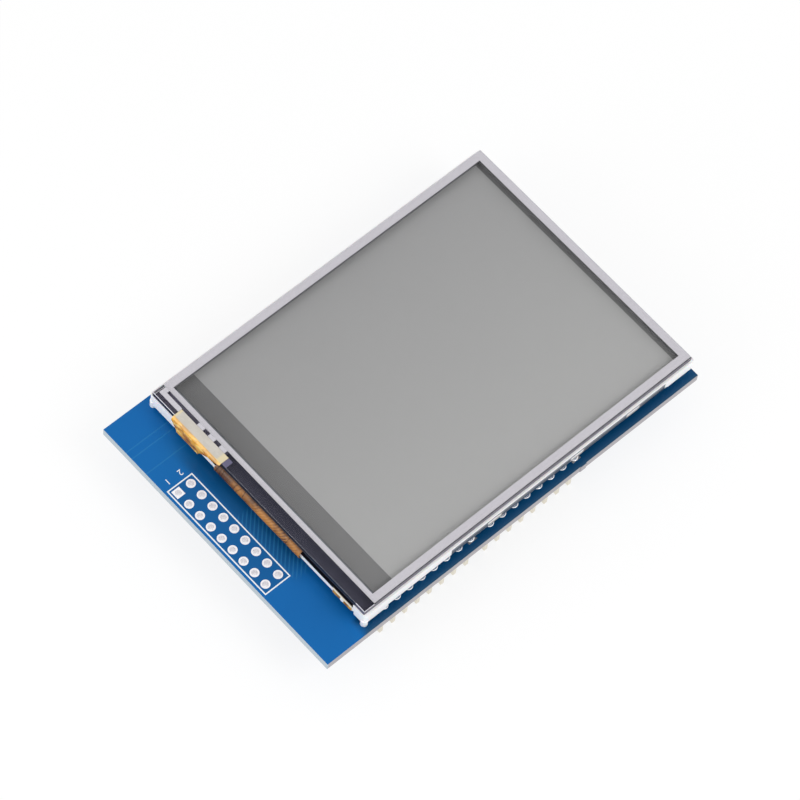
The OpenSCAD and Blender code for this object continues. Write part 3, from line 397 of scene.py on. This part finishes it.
# Each plain finish is two tones, a roughness and a relief in millimetres that follow one pattern:
# grain (scale and detail), cells or ribs (scale). Where a cloud is given, the tones follow that.
plainValues = {
    "tinPlate": {
        "fixed": {"Metallic": 0.75}, "grain": (900, 3), "tones": ((238, 234, 238), (250, 249, 252)),
        "roughness": (0.3, 0.5), "relief": 0.012,
        "pieces": ("expansion_eyelets", "level_shifter_leads", "regulator_leads", "transistor_leads",
                   "capacitor_ends", "resistor_ends")},
    "solder": {
        "fixed": {"Metallic": 0.85}, "grain": (1400, 2), "tones": ((222, 222, 226), (250, 250, 251)),
        "roughness": (0.1, 0.24), "relief": 0.04,
        "pieces": ("header_low_joints", "header_high_joints", "header_power_joints", "header_analog_joints")},
    "pinPlating": {
        "fixed": {"Metallic": 1.0}, "grain": (1500, 2, (1, 1, 0.06)), "tones": ((220, 211, 190), (242, 237, 224)),
        "roughness": (0.25, 0.42),
        "pieces": ("header_low_pins", "header_high_pins", "header_power_pins", "header_analog_pins")},
    "contactGold": {
        "fixed": {"Metallic": 1.0}, "grain": (1200, 2), "tones": ((214, 168, 82), (238, 204, 120)),
        "roughness": (0.2, 0.36), "pieces": ("card_socket_contacts",)},
    "rolledSteel": {
        "fixed": {"Metallic": 1.0}, "grain": (2600, 3, (0.03, 0.03, 1)), "tones": ((180, 179, 180), (206, 204, 204)),
        "roughness": (0.2, 0.36), "relief": 0.004, "pieces": ("back_tray",)},
    "pressedShell": {
        "fixed": {"Metallic": 1.0}, "grain": (2200, 3, (0.04, 1, 1)), "tones": ((186, 188, 190), (214, 215, 217)),
        "roughness": (0.26, 0.42), "relief": 0.006, "pieces": ("card_socket_shell",)},
    "blackMoulding": {
        "grain": (2600, 2), "cloud": (240, 3), "tones": ((24, 24, 26), (38, 38, 40)),
        "roughness": (0.45, 0.62), "relief": 0.01,
        "pieces": ("header_low_insulator", "header_high_insulator", "header_power_insulator",
                   "header_analog_insulator", "card_socket_base")},
    "chipMoulding": {
        "grain": (3800, 3), "tones": ((30, 30, 33), (52, 52, 55)), "roughness": (0.5, 0.75), "relief": 0.014,
        "pieces": ("level_shifter_bodies", "regulator_body", "transistor_body")},
    "foamTape": {
        "cells": 3500, "tones": ((205, 205, 202), (238, 238, 234)), "roughness": (0.85, 1.0), "relief": 0.08,
        "pieces": ("mounting_foam",)},
    "whiteFilm": {
        "grain": (1800, 2), "tones": ((238, 238, 238), (248, 248, 248)), "roughness": (0.4, 0.6),
        "pieces": ("reflector_sheet", "diffuser_sheet")},
    "prismFilm": {
        "fixed": {"Alpha": 0.7}, "ribs": 3000, "tones": ((214, 216, 226), (238, 239, 244)),
        "roughness": (0.2, 0.35), "pieces": ("lower_prism_sheet", "upper_prism_sheet")},
    "lightGuide": {
        "fixed": {"Alpha": 0.6}, "cells": 2500, "tones": ((240, 244, 246), (225, 232, 236)),
        "roughness": (0.08, 0.3), "pieces": ("light_guide",)},
    "lampPackage": {
        "grain": (2200, 2), "tones": ((236, 220, 130), (246, 240, 190)), "roughness": (0.3, 0.5),
        "pieces": ("backlight_leds",)},
    "siliconChip": {
        "fixed": {"Metallic": 0.4}, "grain": (3000, 2), "tones": ((42, 42, 50), (60, 60, 70)),
        "roughness": (0.12, 0.25), "pieces": ("driver_chip",)},
    "capacitorCeramic": {
        "grain": (2400, 3), "tones": ((150, 122, 92), (182, 152, 118)), "roughness": (0.4, 0.6),
        "pieces": ("capacitor_bodies",)},
    "resistorGlaze": {
        "grain": (2600, 3), "tones": ((22, 22, 26), (40, 40, 46)), "roughness": (0.25, 0.42),
        "pieces": ("resistor_bodies",)},
    "displayGlass": {
        "grain": (900, 2), "tones": ((108, 112, 120), (122, 126, 134)), "roughness": (0.08, 0.2),
        "pieces": ("transistor_glass", "colour_filter_glass")},
    "whiteLegend": {
        "grain": (2400, 3), "tones": ((226, 232, 238), (248, 249, 251)), "roughness": (0.5, 0.7), "relief": 0.004},
    "adhesive": {
        "fixed": {"Specular_IOR_Level": 0.3}, "grain": (1500, 3), "tones": ((88, 86, 112), (112, 109, 136)),
        "roughness": (0.4, 0.6), "relief": 0.01},
}


def finishPlain(name):
    values = plainValues[name]
    material, tree, shader = newFinish(name, **values.get("fixed", {}))
    coords = axes(tree)[0]
    if "grain" in values:
        pattern = grain(tree, coords, *values["grain"])
    elif "cells" in values:
        pattern = cells(tree, coords, values["cells"])
    else:
        pattern = ribs(tree, coords, values["ribs"])
    cloud = grain(tree, coords, *values["cloud"]) if "cloud" in values else pattern
    wire(tree, shader, "Base Color", blendTone(tree, cloud, *values["tones"]))
    wire(tree, shader, "Roughness", fit(tree, pattern, *values["roughness"]))
    if "relief" in values:
        relief(tree, shader, pattern, values["relief"])
    dress(material, *values.get("pieces", ()))
    return material


lightFrameValues = {
    "white": ((252, 251, 251), (255, 255, 255)), "flow": (120, 3), "fine": (2400, 2),
    "lipShade": (222, 221, 224), "lipInset": 0.1, "lipDepth": (-0.25, -0.1),
    "roughness": (0.3, 0.45), "relief": 0.006, "bleed": 0.1, "bleedDepth": 0.3,
}


def finishLightFrame():
    values = lightFrameValues
    frost, tree, shader = newFinish("whiteFrame", Subsurface_Weight=values["bleed"],
                                    Subsurface_Scale=values["bleedDepth"] * mm)
    coords, x, y, z = axes(tree)
    white = blendTone(tree, grain(tree, coords, *values["flow"]), *values["white"])
    inset = values["lipInset"]
    # painted shade: a greyer line along the frame's outer top edge at the end beyond the glass, where its rounded edge
    # turns from the light
    lipShade = times(tree, riseAt(tree, x, glassHigh.x + inset, frameHigh.x - inset),
                riseFrom(tree, z, frameHigh.z, values["lipDepth"]))
    fine = grain(tree, coords, *values["fine"])
    wire(tree, shader, "Base Color", blendTone(tree, lipShade, white, values["lipShade"]))
    wire(tree, shader, "Roughness", fit(tree, fine, *values["roughness"]))
    relief(tree, shader, fine, values["relief"])
    dress(frost, "light_frame")


displayFlexValues = {
    "amber": ((88, 50, 22), (180, 120, 54)), "cloud": (330, 3, (1, 1, 0.6)), "cloudRise": (0.34, 0.64),
    "specular": 0.3, "coat": 0.2, "coatRoughness": 0.15, "roughness": (0.25, 0.45), "relief": 0.04,
    "copper": (206, 142, 70), "copperShare": 0.7, "wander": (700, 2), "lineBreaks": (0.3, 0.6),
    "lineSpacing": 0.62, "lineWidth": 0.24, "lineSlope": 1.1, "lineSpan": (-10.2, 0, 1.5),
    "inwardShade": (70, 42, 20), "inwardReach": (0.15, 1.0), "inwardShare": 0.6,  # painted shade: darker as it runs in under the module
    "creases": ((8.9, 0.25), (8.2, 0.1), (7.3, -0.35), (5.0, 0.4), (4.1, 0.3), (2.6, -0.2), (-7.2, 0.3)),
    "creaseHeight": 11,  # where a crease is at its place; its slope is the second number
    "creaseShade": (46, 26, 14), "creaseShare": 0.8, "creaseWander": 0.9, "creaseWidth": 0.1, "creaseSoft": 0.06,
}


def flexCreases(tree, y, z, wander):
    values = displayFlexValues
    shift = times(tree, calc(tree, "SUBTRACT", wander, 0.5), values["creaseWander"] * mm)
    half = values["creaseWidth"] / 2
    folds = []
    for place, slope in values["creases"]:
        across = calc(tree, "ADD", calc(tree, "ADD", y, shift), times(tree, z, slope))
        middle = place + values["creaseHeight"] * slope
        folds.append(bandAt(tree, across, middle - half, middle + half, values["creaseSoft"]))
    return largest(tree, *folds)


def finishDisplayFlex():
    values = displayFlexValues
    film, tree, shader = newFinish("polyimide", Coat_Weight=values["coat"], Coat_Roughness=values["coatRoughness"],
                                   Specular_IOR_Level=values["specular"])
    coords, x, y, z = axes(tree)
    wander = grain(tree, coords, *values["wander"])
    cloud = rise(tree, grain(tree, coords, *values["cloud"]), *values["cloudRise"])
    lean = calc(tree, "ADD", y, times(tree, z, values["lineSlope"]))
    lines = times(tree, stripes(tree, lean, values["lineSpacing"], values["lineWidth"]),
                  bandAt(tree, y, *values["lineSpan"]), rise(tree, wander, *values["lineBreaks"]))
    base = blendTone(tree, cloud, *values["amber"])
    base = blendTone(tree, times(tree, lines, values["copperShare"]), base, values["copper"])
    # painted shade of the module over the flex
    inwardShade = riseFrom(tree, x, flexLow.x, values["inwardReach"])
    base = blendTone(tree, times(tree, inwardShade, values["inwardShare"]), base, values["inwardShade"])
    folds = flexCreases(tree, y, z, wander)
    # painted shade in the creases; the bump below gives their shape
    base = blendTone(tree, times(tree, folds, values["creaseShare"]), base, values["creaseShade"])
    wire(tree, shader, "Base Color", base)
    wire(tree, shader, "Roughness", fit(tree, cloud, *values["roughness"]))
    height = calc(tree, "SUBTRACT", calc(tree, "ADD", lines, cloud), folds)
    relief(tree, shader, height, values["relief"])
    dress(film, "display_flex")


lampFlexValues = {
    "dark": ((8, 8, 14), (16, 15, 24)), "amber": ((136, 86, 24), (214, 164, 78)), "amberRise": (0.35, 0.65),
    "rim": (238, 228, 208), "rimDepth": (-0.42, -0.3), "tab": (-22.2, -17.8, 0.02), "tabReach": (0.05, -0.03),
    "grain": (900, 3), "specular": 0.12, "roughness": (0.3, 0.5), "relief": 0.03,
}


def finishLampFlex():
    # dark on the ledge, amber on the tab that bends down at the flex end
    values = lampFlexValues
    strip, tree, shader = newFinish("lampFlex", Specular_IOR_Level=values["specular"])
    coords, x, y, z = axes(tree)
    fine = grain(tree, coords, *values["grain"])
    amber = blendTone(tree, rise(tree, fine, *values["amberRise"]), *values["amber"])
    amber = blendTone(tree, riseFrom(tree, z, lampHigh.z, values["rimDepth"]), amber, values["rim"])
    tab = times(tree, bandAt(tree, y, *values["tab"]), riseFrom(tree, x, glassLow.x, values["tabReach"]))
    wire(tree, shader, "Base Color", blendTone(tree, tab, blendTone(tree, fine, *values["dark"]), amber))
    wire(tree, shader, "Roughness", fit(tree, fine, *values["roughness"]))
    relief(tree, shader, fine, values["relief"])
    dress(strip, "led_flex")


tailValues = {
    "amber": ((172, 104, 10), (242, 178, 50)), "crumple": (1000, 3, (1, 0.5, 0.5)), "crumpleRise": (0.36, 0.62),
    "streak": (2600, 2, (1, 0.16, 0.3)), "paleLit": (255, 214, 118), "paleRise": (0.5, 0.64),
    "deep": (132, 74, 8), "deepRise": (0.42, 0.34), "deepShare": 0.6,
    "turn": (252, 208, 136), "turnDepth": (-0.5, -0.15), "turnShare": 0.5,
    "cream": ((188, 183, 172), (212, 206, 198)), "bondDepth": (-0.12, -0.03), "bondReach": (-0.28, 0.02),
    "creamEnds": (228, 212, 164), "nearEnd": (1.3, 0.8), "farEnd": (-0.6, -0.2), "endShare": 0.7,
    "specular": 0.3, "coat": 0.3, "coatRoughness": 0.1, "roughness": (0.15, 0.4), "relief": 0.16, "reliefShare": 1.15,
}


def finishTouchTail():
    # cream where it is bonded to the glass, crumpled amber where it rolls over the edge, with painted highlights and
    # painted shade in streaks over the crumples and a painted highlight where it turns over the edge
    values = tailValues
    gloss, tree, shader = newFinish("tailFilm", Coat_Weight=values["coat"], Coat_Roughness=values["coatRoughness"],
                                    Specular_IOR_Level=values["specular"])
    coords, x, y, z = axes(tree)
    crumple = grain(tree, coords, *values["crumple"])
    streak = grain(tree, coords, *values["streak"])
    base = blendTone(tree, rise(tree, crumple, *values["crumpleRise"]), *values["amber"])
    # painted highlights on the crumples, in streaks
    base = blendTone(tree, rise(tree, streak, *values["paleRise"]), base, values["paleLit"])
    # painted shade between the highlights
    deep = times(tree, rise(tree, streak, *values["deepRise"]), values["deepShare"])
    base = blendTone(tree, deep, base, values["deep"])
    # painted highlight where the tail turns over the edge
    turn = times(tree, riseFrom(tree, z, tailHigh.z, values["turnDepth"]), values["turnShare"])
    base = blendTone(tree, turn, base, values["turn"])
    bonded = times(tree, riseFrom(tree, z, tailHigh.z, values["bondDepth"]),
                   riseFrom(tree, x, glassLow.x, values["bondReach"]))
    ends = largest(tree, riseFrom(tree, y, tailLow.y, values["nearEnd"]),
                   riseFrom(tree, y, tailHigh.y, values["farEnd"]))
    cream = blendTone(tree, crumple, *values["cream"])
    cream = blendTone(tree, times(tree, ends, values["endShare"]), cream, values["creamEnds"])
    wire(tree, shader, "Base Color", blendTone(tree, bonded, base, cream))
    wire(tree, shader, "Roughness", fit(tree, crumple, *values["roughness"]))
    height = times(tree, crumple, calc(tree, "SUBTRACT", values["reliefShare"], bonded))
    relief(tree, shader, height, values["relief"])
    dress(gloss, "touch_tail")


panelValues = {
    "screen": ((166, 166, 166), (186, 186, 185)), "rim": ((111, 111, 111), (131, 131, 131)),
    "lightDrift": (24, -24),  # the two tones of each pair are at these places across the panel; this change of tone across the panel is painted light
    "speck": (190, 190, 190), "speckGrain": (3200, 2), "speckShare": 0.1,
    "active": (-23.1, 36.1), "activeInset": 0.5, "activeSoft": 0.05,
    "roughness": 0.5, "specular": 0.15, "relief": 0.004,
}


def finishPanel():
    values = panelValues
    screen, tree, shader = newFinish("polariserFilm", Roughness=values["roughness"],
                                     Specular_IOR_Level=values["specular"])
    coords, x, y, z = axes(tree)
    inset, soft = values["activeInset"], values["activeSoft"]
    inside = times(tree, bandAt(tree, x, *values["active"], soft),
                   bandAt(tree, y, panelLow.y + inset, panelHigh.y - inset, soft))
    fine = grain(tree, coords, *values["speckGrain"])
    start, end = values["lightDrift"]
    lightDrift = addNode(tree, "ShaderNodeMapRange", None, {0: y, 1: start * mm, 2: end * mm, 3: 0.0, 4: 1.0}).outputs[0]
    specks = times(tree, fine, values["speckShare"])
    field = blendTone(tree, specks, blendTone(tree, lightDrift, *values["screen"]), values["speck"])
    # darker outside the active area: partly the cell's own dark border and partly painted shadow of the silver border
    # above
    wire(tree, shader, "Base Color", blendTone(tree, inside, blendTone(tree, lightDrift, *values["rim"]), field))
    relief(tree, shader, fine, values["relief"])
    dress(screen, "front_polariser", "rear_polariser")


glassValues = {
    "face": (120, 121, 126), "side": ((98, 94, 108), (116, 112, 126)), "sideGrain": (1800, 2),
    "flexSideShade": (20, 20, 28), "ground": (232, 232, 240), "specular": 0.3, "roughness": (0.04, 0.4),
    "opacity": (0.03, 0.88), "paintedShade": 0.4, "flexShare": 0.15,
    "farCorner": (19.1, 19.3), "nearCorner": (-22.6, -22.8),  # where the painted highlight on the flex end's rim comes back
    "sideTurn": (0.6, 0.3), "groundTurn": (0.6, 0.85, 0.05),  # how far up the sides and the ground rim face
}


def turned(tree, share, way):
    # 1 on faces that are turned along an axis, with way 1, or against it, with way -1
    return rise(tree, share, 0.4 * way, 0.6 * way)


def finishTouchGlass():
    # a clear pane with dull sides and a ground rim; the rim is painted light and painted shade by the side it faces,
    # and the side at the flex end is painted dark with shade
    values = glassValues
    pane, tree, shader = newFinish("touchGlass", Specular_IOR_Level=values["specular"])
    coords, x, y, z = axes(tree)
    forward, aside, upward = facing(tree)
    level = calc(tree, "ABSOLUTE", upward)
    side = rise(tree, level, *values["sideTurn"])
    ground = band(tree, level, *values["groundTurn"])
    flexEnd = turned(tree, forward, -1)
    nearCorner = riseAt(tree, y, *values["nearCorner"])
    corners = largest(tree, riseAt(tree, y, *values["farCorner"]), nearCorner)
    onward = largest(tree, turned(tree, forward, 1), turned(tree, aside, 1))
    beyond = times(tree, turned(tree, aside, -1), riseFrom(tree, x, filmLow.x, (0, -0.05)))
    # painted highlight on the ground rim's faces turned to +x and +y, on those turned to -y next to the flex end, and
    # near the flex end's corners; painted shade on the rest of the rim
    paintedLit = largest(tree, times(tree, flexEnd, fit(tree, corners, values["flexShare"], 1.0)), onward, beyond)
    paintedShade = times(tree, ground, opposite(tree, paintedLit))
    ground = times(tree, ground, paintedLit)
    edge = blendTone(tree, grain(tree, coords, *values["sideGrain"]), *values["side"])
    # painted shade: the glass's side at the flex end is dark, except near the near corner
    edge = blendTone(tree, times(tree, flexEnd, opposite(tree, nearCorner)), edge, values["flexSideShade"])
    tint = blendTone(tree, side, values["face"], edge)
    wire(tree, shader, "Base Color", blendTone(tree, ground, tint, values["ground"]))
    solid = largest(tree, side, ground, times(tree, paintedShade, values["paintedShade"]))
    wire(tree, shader, "Alpha", fit(tree, solid, *values["opacity"]))
    wire(tree, shader, "Roughness", fit(tree, solid, *values["roughness"]))
    dress(pane, "touch_glass")


filmValues = {"face": ((150, 150, 153), (166, 166, 168)), "side": (234, 234, 236), "opacity": (0.03, 0.75),
              "grain": (2600, 2), "roughness": (0.12, 0.22), "relief": 0.003}


def finishTouchFilm():
    values = filmValues
    film, tree, shader = newFinish("touchFilm")
    side = flank(tree)
    fine = grain(tree, axes(tree)[0], *values["grain"])
    # painted highlight: the film's cut sides are near white
    wire(tree, shader, "Base Color", blendTone(tree, side, blendTone(tree, fine, *values["face"]), values["side"]))
    wire(tree, shader, "Alpha", fit(tree, side, *values["opacity"]))
    wire(tree, shader, "Roughness", fit(tree, fine, *values["roughness"]))
    relief(tree, shader, fine, values["relief"])
    dress(film, "touch_film")


silverValues = {
    "paste": ((176, 173, 180), (214, 211, 218)), "grain": (4200, 3), "metallic": 0.15,
    "cloud": (225, 223, 228), "cloudGrain": (300, 2), "cloudShare": 0.25,
    "roughness": (0.45, 0.65), "relief": 0.01,
}


def finishSilver():
    values = silverValues
    silver, tree, shader = newFinish("silverPaste", Metallic=values["metallic"])
    coords = axes(tree)[0]
    fine = grain(tree, coords, *values["grain"])
    cloud = times(tree, grain(tree, coords, *values["cloudGrain"]), values["cloudShare"])
    wire(tree, shader, "Base Color", blendTone(tree, cloud, blendTone(tree, fine, *values["paste"]), values["cloud"]))
    wire(tree, shader, "Roughness", fit(tree, fine, *values["roughness"]))
    relief(tree, shader, fine, values["relief"])
    return silver


ledgeValues = {
    "dark": ((53, 53, 68), (68, 67, 84)), "paleLit": ((102, 98, 116), (122, 118, 138)), "paleStart": (1.0, 1.2),
    "tape": ((10, 10, 18), (22, 21, 32)), "printDepth": (-0.9, -0.6),
    "gasket": ((122, 122, 125), (136, 136, 139)), "printEnd": (0.5, 0.4),
    "grain": (1500, 3), "specular": 0.15, "roughness": (0.5, 0.7),
}


def ledgeTone(tree, fine, y):
    # the black print that is seen through the glass; its grey is partly painted sheen of the glass over it, and the
    # paler tone beside the tail is painted light, which lifts the shade that the traces above cast on it
    beside = riseFrom(tree, y, tailLow.y, ledgeValues["paleStart"])
    dark, paleLit = [blendTone(tree, fine, *ledgeValues[shade]) for shade in ("dark", "paleLit")]
    return blendTone(tree, beside, dark, paleLit)


def finishTape():
    values = ledgeValues
    tape, tree, shader = newFinish("blackTape", Specular_IOR_Level=values["specular"])
    coords, x, y, z = axes(tree)
    fine = grain(tree, coords, *values["grain"])
    printed = riseFrom(tree, z, glassLow.z, values["printDepth"])
    black = blendTone(tree, fine, *values["tape"])
    wire(tree, shader, "Base Color", blendTone(tree, printed, black, ledgeTone(tree, fine, y)))
    wire(tree, shader, "Roughness", fit(tree, fine, *values["roughness"]))
    dress(tape, "ledge_tape", "touch_spacer")


def finishGasket():
    values = ledgeValues
    rubber, tree, shader = newFinish("gasket", Specular_IOR_Level=values["specular"])
    coords, x, y, z = axes(tree)
    fine = grain(tree, coords, *values["grain"])
    printed = riseFrom(tree, x, filmLow.x, values["printEnd"])
    # painted shade: the inner part is grey, standing for the soft shade at the window's edge
    innerShade = blendTone(tree, fine, *values["gasket"])
    wire(tree, shader, "Base Color", blendTone(tree, printed, innerShade, ledgeTone(tree, fine, y)))
    wire(tree, shader, "Roughness", fit(tree, fine, *values["roughness"]))
    return rubber


def finishLayer(piece, material):
    piece.data.materials.clear()
    piece.data.materials.append(material)
    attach(piece, "root")


settleValues = {"drop": 0.004, "merge": 0.001, "topDepth": 0.005}


def settle(name, material):
    # stands for a piece, its top a hair lower, so that it shares no plane with the clear one on it
    piece = bpy.data.objects.new(name + "_settled", parts[name].data.copy())
    bpy.context.scene.collection.objects.link(piece)
    bpy.ops.object.select_all(action="DESELECT")
    piece.select_set(True)
    bpy.context.view_layer.objects.active = piece
    bpy.ops.object.mode_set(mode="EDIT")
    bpy.ops.mesh.select_all(action="SELECT")
    bpy.ops.mesh.remove_doubles(threshold=settleValues["merge"] * mm)
    bpy.ops.mesh.select_all(action="DESELECT")
    bpy.ops.object.mode_set(mode="OBJECT")
    top = reach(name)[1].z - settleValues["topDepth"]
    for vertex in piece.data.vertices:
        vertex.select = vertex.co.z > top * mm
    bpy.ops.object.mode_set(mode="EDIT")
    bpy.ops.transform.translate(value=(0, 0, -settleValues["drop"] * mm))
    bpy.ops.object.mode_set(mode="OBJECT")
    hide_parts(name)
    finishLayer(piece, material)


def startPlane(name, low, high, z):
    # a flat rectangle in edit mode, all of it selected
    bpy.ops.object.select_all(action="DESELECT")
    bpy.ops.mesh.primitive_plane_add(size=1)
    piece = bpy.context.object
    piece.name = name
    piece.scale = ((high[0] - low[0]) * mm, (high[1] - low[1]) * mm, 1)
    piece.location = ((low[0] + high[0]) * mm / 2, (low[1] + high[1]) * mm / 2, z * mm)
    bpy.ops.object.transform_apply(location=True, rotation=True, scale=True)
    bpy.ops.object.mode_set(mode="EDIT")
    bpy.ops.mesh.select_all(action="SELECT")
    return piece


def thicken(thickness):
    bpy.ops.mesh.select_all(action="SELECT")
    bpy.ops.mesh.extrude_region_move(TRANSFORM_OT_translate={"value": (0, 0, thickness * mm)})
    bpy.ops.mesh.select_all(action="SELECT")
    bpy.ops.mesh.normals_make_consistent(inside=False)
    bpy.ops.object.mode_set(mode="OBJECT")


def layer(name, low, high, thickness, corner):
    # a thin rectangle with round corners that lies on the touch glass
    piece = startPlane(name, low, high, glassHigh.z)
    bpy.ops.mesh.bevel(offset=corner * mm, segments=3, affect="VERTICES")
    thicken(thickness)
    return piece


def joinAll(first, others):
    bpy.ops.object.select_all(action="DESELECT")
    for piece in [first] + others:
        piece.select_set(True)
    bpy.context.view_layer.objects.active = first
    bpy.ops.object.join()
    return first


legendValues = {"margin": (0.47, 0.64), "endShift": 0.1, "line": 0.21, "thickness": 0.015,
                "figure": 1.5, "figureInset": 0.77, "figureGap": 1.7}


def addLegend(ink):
    # a printed rectangle round the expansion holes, and a number over each column
    values = legendValues
    marginX, marginY = values["margin"]
    low = (gridLow.x - marginX, gridLow.y - marginY)
    high = (gridHigh.x + marginX + values["endShift"], gridHigh.y + marginY - values["endShift"])
    piece = startPlane("grid_legend", low, high, boardHigh.z)
    bpy.ops.mesh.inset(thickness=values["line"] * mm)
    bpy.ops.mesh.delete(type="FACE")
    thicken(values["thickness"])
    figures = []
    for label, x in (("1", gridLow.x + values["figureInset"]), ("2", gridHigh.x - values["figureInset"])):
        bpy.ops.object.select_all(action="DESELECT")
        bpy.ops.object.text_add()
        figure = bpy.context.object
        figure.data.body = label
        figure.data.size = values["figure"] * mm
        figure.data.align_x = "CENTER"
        figure.data.extrude = values["thickness"] * mm / 2
        bpy.ops.object.convert(target="MESH")
        figure = bpy.context.object
        figure.rotation_euler.z = math.pi
        figure.location = Vector((x, high[1] + values["figureGap"], boardHigh.z + values["thickness"] / 2)) * mm
        bpy.ops.object.transform_apply(location=True, rotation=True, scale=True)
        figures.append(figure)
    finishLayer(joinAll(piece, figures), ink)


patchValues = {"across": (0.04, 1.45), "along": (7.2, 8.17), "thickness": 0.04, "corner": 0.1}


def addPatch(glue):
    # square of adhesive on the glass, beside the tail
    left, right = [glassLow.x + step for step in patchValues["across"]]
    start, end = patchValues["along"]
    piece = layer("adhesive_patch", (left, start), (right, end), patchValues["thickness"], patchValues["corner"])
    finishLayer(piece, glue)


traceValues = {
    "thickness": 0.126, "filmGap": 0.01, "corner": 0.04,
    "barWidth": 1.35, "barPlaces": (9.91, 12.47, 15.0), "barStart": 1.48,
    "runStart": 0.78, "runWidth": 0.8, "runEnd": 22.85, "runCorner": 0.05, "tailGap": 0.03, "turnEnd": 23.72,
}


def addTouchTraces(paste):
    # bars that join the border to the tail, and the run that goes round the end of the film
    values = traceValues
    thickness = values["thickness"]
    filmEdge = filmLow.x - values["filmGap"]
    half = values["barWidth"] / 2
    first = values["barPlaces"][0]
    bar = layer("touch_traces", (glassLow.x + values["barStart"], first - half), (filmEdge, first + half),
                thickness, values["corner"])
    pieces = []
    for place in values["barPlaces"][1:]:
        twin = bar.copy()
        twin.data = bar.data.copy()
        twin.location.y = (place - first) * mm
        bpy.context.scene.collection.objects.link(twin)
        pieces.append(twin)
    start = glassLow.x + values["runStart"]
    run = layer("run", (start, tailHigh.y + values["tailGap"]), (start + values["runWidth"], values["runEnd"]),
                thickness, values["runCorner"])
    turn = layer("turn", (start, values["runEnd"]), (filmEdge, values["turnEnd"]), thickness, values["corner"])
    joined = joinAll(bar, pieces + [run, turn])
    bpy.ops.object.transform_apply(location=True, rotation=True, scale=True)
    finishLayer(joined, paste)


finishes = {name: finishPlain(name) for name in plainValues}
finishBoard()
finishLightFrame()
finishTape()
print("board, metals and mouldings have their finish")
finishDisplayFlex()
finishLampFlex()
finishTouchTail()
print("flexes and tail have their finish")
finishPanel()
finishTouchGlass()
finishTouchFilm()
silver = finishSilver()
print("display and touch panel have their finish")
addLegend(finishes["whiteLegend"])
settle("silver_border", silver)
settle("panel_gasket", finishGasket())
addTouchTraces(silver)
addPatch(finishes["adhesive"])
print("legend and traces are laid")
